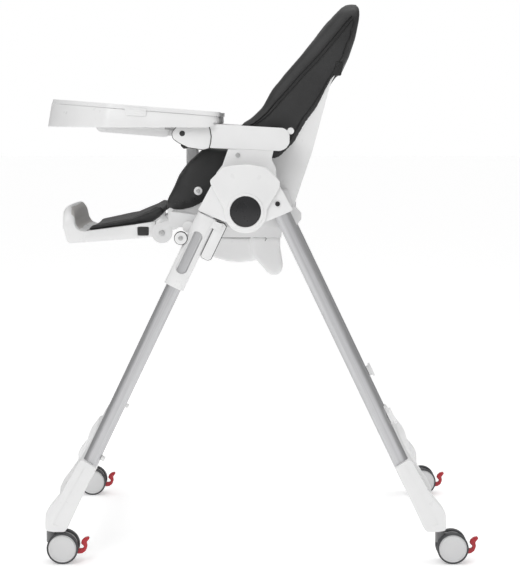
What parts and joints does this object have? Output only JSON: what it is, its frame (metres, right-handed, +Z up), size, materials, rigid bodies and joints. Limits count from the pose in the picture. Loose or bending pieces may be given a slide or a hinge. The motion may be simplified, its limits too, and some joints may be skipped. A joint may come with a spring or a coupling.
{
  "type": "baby high chair",
  "caption": "Folding baby high chair: padded reclining seat that slides on A-frame legs, sliding tray, leg rest and braked twin-wheel castors.",
  "frame": {"origin": "on the floor at the middle of the chair's bounding box", "axes": "+X to the sitting child's left, -Y to the front (tray side), +Z up"},
  "size_m": [0.535, 0.7785, 0.976],
  "materials": {
    "white_plastic": "satin",
    "grey_plastic": "satin",
    "aluminium": "satin",
    "steel": "brushed",
    "screw": "satin",
    "dark_plastic": "gloss",
    "black_plastic": "matte",
    "leatherette": "fine grain",
    "webbing": "woven",
    "castor_grey": "satin",
    "disc_grey": "satin",
    "tread": "matte",
    "red_plastic": "gloss"
  },
  "bodies": {
    "front_frame": {"front_legs": "aluminium", "front_joints": "white_plastic", "hub_covers": "white_plastic", "hub_pins": "steel", "front_feet": "white_plastic", "front_beam": "white_plastic", "leg_buffers": "white_plastic"},
    "fold_button_left": {"fold_button_left": "dark_plastic"},
    "fold_button_right": {"fold_button_right": "dark_plastic"},
    "rear_frame": {"rear_legs": "aluminium", "rear_joints": "white_plastic", "rear_feet": "white_plastic", "rear_beam": "white_plastic", "tray_hooks": "white_plastic", "rear_bolts": "black_plastic"},
    "seat": {"seat_shell": "grey_plastic", "seat_base_cover": "grey_plastic", "leg_sleeves": "white_plastic", "armrests": "white_plastic", "pivot_screws": "steel", "cover_screws": "screw", "seat_pad": "leatherette", "crotch_post": "grey_plastic", "seat_straps": "webbing", "buckle": "black_plastic"},
    "height_lever_left": {"height_lever_left": "white_plastic"},
    "height_lever_right": {"height_lever_right": "white_plastic"},
    "backrest": {"back_shell": "white_plastic", "back_pad": "leatherette", "shoulder_straps": "webbing"},
    "recline_lever": {"recline_lever": "grey_plastic"},
    "leg_rest": {"leg_rest": "white_plastic", "footplate": "white_plastic", "leg_pad": "leatherette"},
    "leg_rest_button_left": {"leg_rest_button_left": "black_plastic"},
    "leg_rest_button_right": {"leg_rest_button_right": "black_plastic"},
    "tray": {"tray_base": "white_plastic", "tray_rails": "grey_plastic"},
    "tray_top": {"tray_top": "white_plastic"},
    "tray_release": {"tray_release": "grey_plastic"},
    "front_left_castor": {"front_left_fork": "castor_grey", "front_left_axle": "steel"},
    "front_left_wheels": {"front_left_discs": "disc_grey", "front_left_tyres": "tread"},
    "front_left_pedal": {"front_left_brake": "red_plastic"},
    "front_right_castor": {"front_right_fork": "castor_grey", "front_right_axle": "steel"},
    "front_right_wheels": {"front_right_discs": "disc_grey", "front_right_tyres": "tread"},
    "front_right_pedal": {"front_right_brake": "red_plastic"},
    "rear_left_castor": {"rear_left_fork": "castor_grey", "rear_left_axle": "steel"},
    "rear_left_wheels": {"rear_left_discs": "disc_grey", "rear_left_tyres": "tread"},
    "rear_left_pedal": {"rear_left_brake": "red_plastic"},
    "rear_right_castor": {"rear_right_fork": "castor_grey", "rear_right_axle": "steel"},
    "rear_right_wheels": {"rear_right_discs": "disc_grey", "rear_right_tyres": "tread"},
    "rear_right_pedal": {"rear_right_brake": "red_plastic"}
  },
  "joints": [
    {"name": "rear_frame_fold", "type": "hinge", "parent": "front_frame", "child": "rear_frame", "pos_m": [0, -0.019, 0.618], "axis": [-1, 0, 0], "range_deg": [0, 50]},
    {"name": "seat_height", "type": "slide", "parent": "front_frame", "child": "seat", "axis": [0, -0.4321, -0.9018], "range_m": [0, 0.3]},
    {"name": "fold_button_left_press", "type": "slide", "parent": "front_frame", "child": "fold_button_left", "axis": [-1, 0, 0], "range_m": [0, 0.003], "stiffness_N_per_m": 600},
    {"name": "fold_button_right_press", "type": "slide", "parent": "front_frame", "child": "fold_button_right", "axis": [1, 0, 0], "range_m": [0, 0.003], "stiffness_N_per_m": 600},
    {"name": "height_lever_left_pull", "type": "hinge", "parent": "seat", "child": "height_lever_left", "pos_m": [0, -0.06467, 0.59277], "axis": [1, 0, 0], "range_deg": [0, 14], "stiffness_Nm_per_rad": 1.5},
    {"name": "height_lever_right_pull", "type": "hinge", "parent": "seat", "child": "height_lever_right", "pos_m": [0, -0.06467, 0.59277], "axis": [1, 0, 0], "range_deg": [0, 14], "stiffness_Nm_per_rad": 1.5},
    {"name": "backrest_recline", "type": "hinge", "parent": "seat", "child": "backrest", "pos_m": [0, 0.045, 0.632], "axis": [-1, 0, 0], "range_deg": [0, 40]},
    {"name": "recline_lever_squeeze", "type": "hinge", "parent": "backrest", "child": "recline_lever", "pos_m": [0, 0.121, 0.834], "axis": [1, 0, 0], "range_deg": [0, 10], "stiffness_Nm_per_rad": 1.5},
    {"name": "leg_rest_angle", "type": "hinge", "parent": "seat", "child": "leg_rest", "pos_m": [0, -0.168, 0.5744], "axis": [-1, 0, 0], "range_deg": [-60, 0]},
    {"name": "leg_rest_button_left_press", "type": "slide", "parent": "leg_rest", "child": "leg_rest_button_left", "axis": [-1, 0, 0], "range_m": [0, 0.003], "stiffness_N_per_m": 500},
    {"name": "leg_rest_button_right_press", "type": "slide", "parent": "leg_rest", "child": "leg_rest_button_right", "axis": [1, 0, 0], "range_m": [0, 0.003], "stiffness_N_per_m": 500},
    {"name": "tray_slide", "type": "slide", "parent": "seat", "child": "tray", "axis": [0, -0.9969, 0.0785], "range_m": [0, 0.1]},
    {"name": "tray_top_lift", "type": "slide", "parent": "tray", "child": "tray_top", "axis": [0, 0.0785, 0.9969], "range_m": [0, 0.06]},
    {"name": "tray_release_squeeze", "type": "hinge", "parent": "tray", "child": "tray_release", "pos_m": [0, -0.349, 0.789], "axis": [-1, 0, 0], "range_deg": [0, 12], "stiffness_Nm_per_rad": 1},
    {"name": "front_left_swivel", "type": "hinge", "parent": "front_frame", "child": "front_left_castor", "pos_m": [0.247, -0.361, 0.06], "axis": [0, 0, 1], "continuous": true},
    {"name": "front_left_roll", "type": "hinge", "parent": "front_left_castor", "child": "front_left_wheels", "pos_m": [0.247, -0.34, 0.0275], "axis": [1, 0, 0], "continuous": true},
    {"name": "front_left_brake_press", "type": "hinge", "parent": "front_left_castor", "child": "front_left_pedal", "pos_m": [0.247, -0.327, 0.029], "axis": [-1, 0, 0], "range_deg": [0, 14]},
    {"name": "front_right_swivel", "type": "hinge", "parent": "front_frame", "child": "front_right_castor", "pos_m": [-0.247, -0.361, 0.06], "axis": [0, 0, 1], "continuous": true},
    {"name": "front_right_roll", "type": "hinge", "parent": "front_right_castor", "child": "front_right_wheels", "pos_m": [-0.247, -0.34, 0.0275], "axis": [1, 0, 0], "continuous": true},
    {"name": "front_right_brake_press", "type": "hinge", "parent": "front_right_castor", "child": "front_right_pedal", "pos_m": [-0.247, -0.327, 0.029], "axis": [-1, 0, 0], "range_deg": [0, 14]},
    {"name": "rear_left_swivel", "type": "hinge", "parent": "rear_frame", "child": "rear_left_castor", "pos_m": [0.247, 0.323, 0.06], "axis": [0, 0, 1], "continuous": true},
    {"name": "rear_left_roll", "type": "hinge", "parent": "rear_left_castor", "child": "rear_left_wheels", "pos_m": [0.247, 0.344, 0.0275], "axis": [1, 0, 0], "continuous": true},
    {"name": "rear_left_brake_press", "type": "hinge", "parent": "rear_left_castor", "child": "rear_left_pedal", "pos_m": [0.247, 0.357, 0.029], "axis": [-1, 0, 0], "range_deg": [0, 14]},
    {"name": "rear_right_swivel", "type": "hinge", "parent": "rear_frame", "child": "rear_right_castor", "pos_m": [-0.247, 0.323, 0.06], "axis": [0, 0, 1], "continuous": true},
    {"name": "rear_right_roll", "type": "hinge", "parent": "rear_right_castor", "child": "rear_right_wheels", "pos_m": [-0.247, 0.344, 0.0275], "axis": [1, 0, 0], "continuous": true},
    {"name": "rear_right_brake_press", "type": "hinge", "parent": "rear_right_castor", "child": "rear_right_pedal", "pos_m": [-0.247, 0.357, 0.029], "axis": [-1, 0, 0], "range_deg": [0, 14]}
  ]
}
